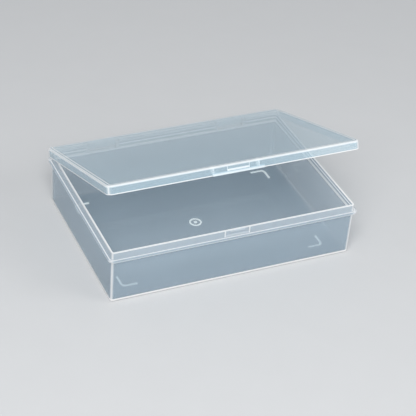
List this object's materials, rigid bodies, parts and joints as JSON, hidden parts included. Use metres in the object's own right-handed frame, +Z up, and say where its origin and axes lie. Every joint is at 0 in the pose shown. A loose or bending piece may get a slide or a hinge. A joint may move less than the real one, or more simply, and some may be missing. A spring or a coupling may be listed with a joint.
{
  "type": "hinged specimen box",
  "caption": "Flat rectangular translucent plastic box for mineral specimens: an open tub with a rim and flange, and a shallow lid on clip hinges that snaps shut at the front.",
  "frame": {"origin": "middle of the box's underside, in the plane that the feet stand on", "axes": "+Z up, +X along the box's length to the right seen from the front, the catch and the lid's free edge at -Y and the hinges at +Y"},
  "size_m": [0.17, 0.1239, 0.0822],
  "materials": {
    "tub_plastic": "natural polypropylene, milky and see-through, satin",
    "lid_plastic": "natural polypropylene, milky and see-through, satin"
  },
  "bodies": {
    "tub": {"tub_shell": "tub_plastic", "rim_flange": "tub_plastic", "gate_mark": "tub_plastic", "catch_pad": "tub_plastic", "catch_nose": "tub_plastic", "catch_rib_left": "tub_plastic", "catch_rib_right": "tub_plastic", "hinge_pin_left": "tub_plastic", "hinge_pin_right": "tub_plastic", "hinge_ear_left_1": "tub_plastic", "hinge_ear_left_2": "tub_plastic", "hinge_ear_right_1": "tub_plastic", "hinge_ear_right_2": "tub_plastic", "foot_front_left": "tub_plastic", "foot_front_right": "tub_plastic", "foot_rear_left": "tub_plastic", "foot_rear_right": "tub_plastic"},
    "lid": {"lid_shell": "lid_plastic", "thumb_lip": "lid_plastic", "latch_bar": "lid_plastic", "wall_guide_left": "lid_plastic", "wall_guide_right": "lid_plastic", "hinge_clip_left": "lid_plastic", "hinge_clip_right": "lid_plastic"}
  },
  "joints": [
    {"name": "lid_hinge", "type": "hinge", "parent": "tub", "child": "lid", "pos_m": [0, 0.0614, 0.0349], "axis": [-1, 0, 0], "range_deg": [-20.8, 159.2]}
  ]
}
